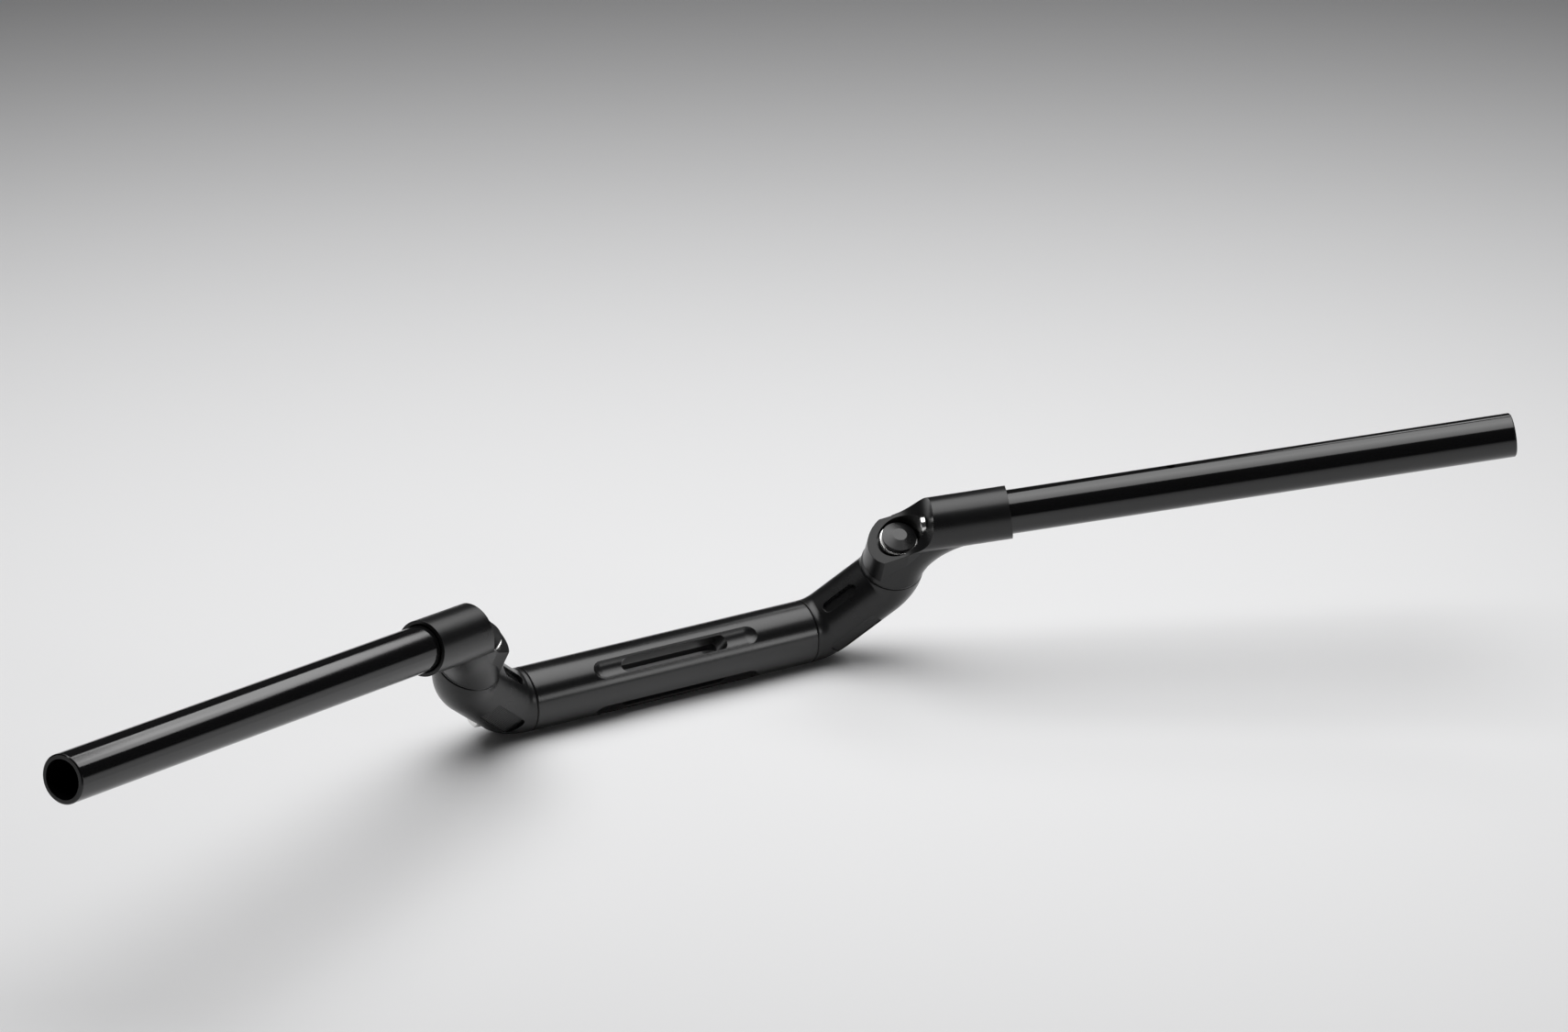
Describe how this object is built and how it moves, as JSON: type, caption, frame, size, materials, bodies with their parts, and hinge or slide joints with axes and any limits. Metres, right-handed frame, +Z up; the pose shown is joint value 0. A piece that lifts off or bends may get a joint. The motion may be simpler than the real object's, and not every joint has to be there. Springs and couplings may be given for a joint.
{
  "type": "adjustable clip-on handlebar",
  "caption": "Adjustable black aluminium motorbike handlebar: slotted centre bar, turning elbows, swivelling heads and straight grip tubes, locked by screws.",
  "frame": {"origin": "middle of the centre bar, on its axis", "axes": "+X along the bar to the rider's right as seen in the picture, -Y towards the rider, +Z up"},
  "size_m": [0.7902, 0.1976, 0.1281],
  "materials": {
    "bar_black": "black anodised, fine turned satin gloss",
    "elbow_black": "black anodised, milled satin",
    "head_black": "black anodised, milled satin",
    "tube_black": "black anodised, polished gloss",
    "plug_alloy": "bare turned alloy",
    "bright_steel": "bright turned steel",
    "cap_black": "black anodised, turned"
  },
  "bodies": {
    "bar": {"centre_bar": "bar_black", "left_bar_screw": "bright_steel", "right_bar_screw": "bright_steel", "left_bar_washer": "bright_steel", "right_bar_washer": "bright_steel"},
    "right_arm": {"right_elbow": "elbow_black", "right_swivel_screw": "bright_steel", "right_swivel_washer": "bright_steel", "right_swivel_cap": "cap_black"},
    "left_arm": {"left_elbow": "elbow_black", "left_swivel_screw": "bright_steel", "left_swivel_washer": "bright_steel", "left_swivel_cap": "cap_black"},
    "right_grip_head": {"right_head": "head_black", "right_grip_tube": "tube_black", "right_tube_plug": "plug_alloy", "right_tube_screw": "bright_steel"},
    "left_grip_head": {"left_head": "head_black", "left_grip_tube": "tube_black", "left_tube_plug": "plug_alloy", "left_tube_screw": "bright_steel"}
  },
  "joints": [
    {"name": "right_elbow_turn", "type": "hinge", "parent": "bar", "child": "right_arm", "pos_m": [0.08, 0, 0], "axis": [1, 0, 0], "range_deg": [-25, 25]},
    {"name": "left_elbow_turn", "type": "hinge", "parent": "bar", "child": "left_arm", "pos_m": [-0.08, 0, 0], "axis": [1, 0, 0], "range_deg": [-25, 25]},
    {"name": "right_head_swivel", "type": "hinge", "parent": "right_arm", "child": "right_grip_head", "pos_m": [0.12019, -0.0203, 0.03515], "axis": [-0.1392, -0.4951, 0.8576], "range_deg": [-20, 20]},
    {"name": "left_head_swivel", "type": "hinge", "parent": "left_arm", "child": "left_grip_head", "pos_m": [-0.12019, -0.0203, 0.03515], "axis": [0.1392, -0.4951, 0.8576], "range_deg": [-20, 20]}
  ]
}
